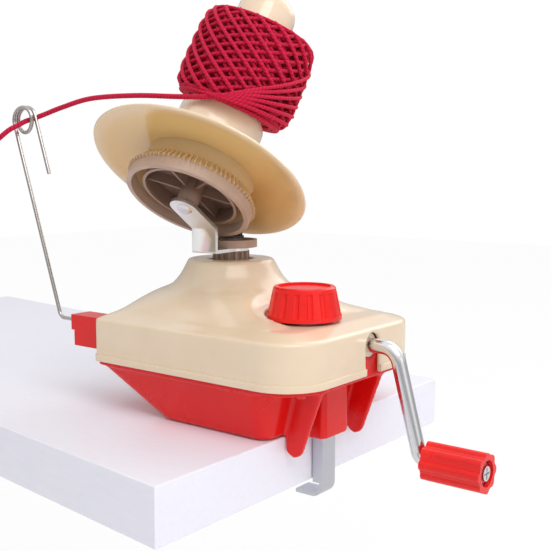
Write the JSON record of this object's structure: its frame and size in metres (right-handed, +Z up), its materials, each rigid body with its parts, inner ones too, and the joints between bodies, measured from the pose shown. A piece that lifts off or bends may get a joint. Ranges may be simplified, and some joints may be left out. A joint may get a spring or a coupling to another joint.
{
  "type": "yarn ball winder",
  "caption": "Hand-cranked yarn ball winder: cream housing on a red clamp base, geared crank, tilted spool with wound yarn and a folding wire yarn guide.",
  "frame": {"origin": "middle of the housing on its seat, the underside that rests on the table", "axes": "+X towards the crank along the crank axis, +Z up, the table edge lies along Y"},
  "size_m": [0.2961, 0.1455, 0.2811],
  "materials": {
    "cream_plastic": "smooth gloss moulding",
    "red_plastic": "smooth gloss moulding",
    "taupe_plastic": "satin moulding",
    "black_plastic": "satin moulding",
    "plated_steel": "bright plating",
    "wire_steel": "drawn wire",
    "yarn": "soft twisted yarn"
  },
  "bodies": {
    "base": {"top_cover": "cream_plastic", "bottom_tub": "red_plastic", "cover_screws": "plated_steel", "centre_pin": "plated_steel", "thrust_washer": "plated_steel", "crank_bush_front": "cream_plastic", "crank_bush_rear": "cream_plastic", "guide_block": "red_plastic", "guide_block_screws": "plated_steel", "yarn_strand": "yarn"},
    "crank": {"crank_rod": "plated_steel", "crown_gear": "taupe_plastic", "gear_pin": "plated_steel", "crank_clips": "plated_steel", "grip_washer": "plated_steel", "grip_screw": "plated_steel"},
    "grip": {"crank_grip": "red_plastic"},
    "arm": {"sleeve_pinion": "taupe_plastic", "spindle_arm": "plated_steel", "arm_collar": "taupe_plastic", "collar_screws": "plated_steel", "spool_axle": "plated_steel", "axle_washer": "plated_steel", "axle_clip": "plated_steel"},
    "drive": {"drive_tube": "taupe_plastic", "spool_pinion": "black_plastic"},
    "spool": {"spool": "cream_plastic", "ring_gear": "taupe_plastic", "ring_screws": "plated_steel", "spool_cap": "cream_plastic", "yarn_core": "yarn", "yarn_winding": "yarn"},
    "knob": {"clamp_knob": "red_plastic", "clamp_bolt": "plated_steel", "knob_washer": "plated_steel", "bolt_clip": "plated_steel"},
    "strap": {"clamp_strap": "plated_steel", "clamp_nut": "plated_steel"},
    "guide": {"guide_wire": "wire_steel"}
  },
  "joints": [
    {"name": "arm_turn", "type": "hinge", "parent": "base", "child": "arm", "pos_m": [-0.027, 0.008, 0.09], "axis": [0, 0, 1], "continuous": true, "deforming": ["yarn_strand"]},
    {"name": "crank_turn", "type": "hinge", "parent": "base", "child": "crank", "pos_m": [0, 0.008, 0.0435], "axis": [1, 0, 0], "continuous": true},
    {"name": "drive_turn", "type": "hinge", "parent": "base", "child": "drive", "pos_m": [-0.027, 0.008, 0.09], "axis": [0, 0, 1], "continuous": true},
    {"name": "spool_turn", "type": "hinge", "parent": "arm", "child": "spool", "pos_m": [-0.02418, -0.03228, 0.11813], "axis": [-0.04, 0.5722, 0.8192], "continuous": true},
    {"name": "grip_spin", "type": "hinge", "parent": "crank", "child": "grip", "pos_m": [0.12, 0.008, -0.013], "axis": [1, 0, 0], "continuous": true},
    {"name": "knob_turn", "type": "hinge", "parent": "base", "child": "knob", "pos_m": [0.0385, -0.008, 0.057], "axis": [0, 0, 1], "range_deg": [-7205, 2885]},
    {"name": "strap_slide", "type": "slide", "parent": "base", "child": "strap", "axis": [0, 0, 1], "range_m": [-0.008, 0.02]},
    {"name": "guide_fold", "type": "hinge", "parent": "base", "child": "guide", "pos_m": [-0.095, -0.05, 0.0475], "axis": [1, 0, 0], "range_deg": [0, 90], "deforming": ["yarn_strand"]}
  ],
  "couplings": [
    {"joint": "crank_turn", "follows": "arm_turn", "ratio": -0.34783},
    {"joint": "drive_turn", "follows": "arm_turn", "ratio": 0.69565},
    {"joint": "spool_turn", "follows": "arm_turn", "ratio": 0.054627},
    {"joint": "knob_turn", "follows": "strap_slide", "rad_per_m": -6283.2}
  ]
}
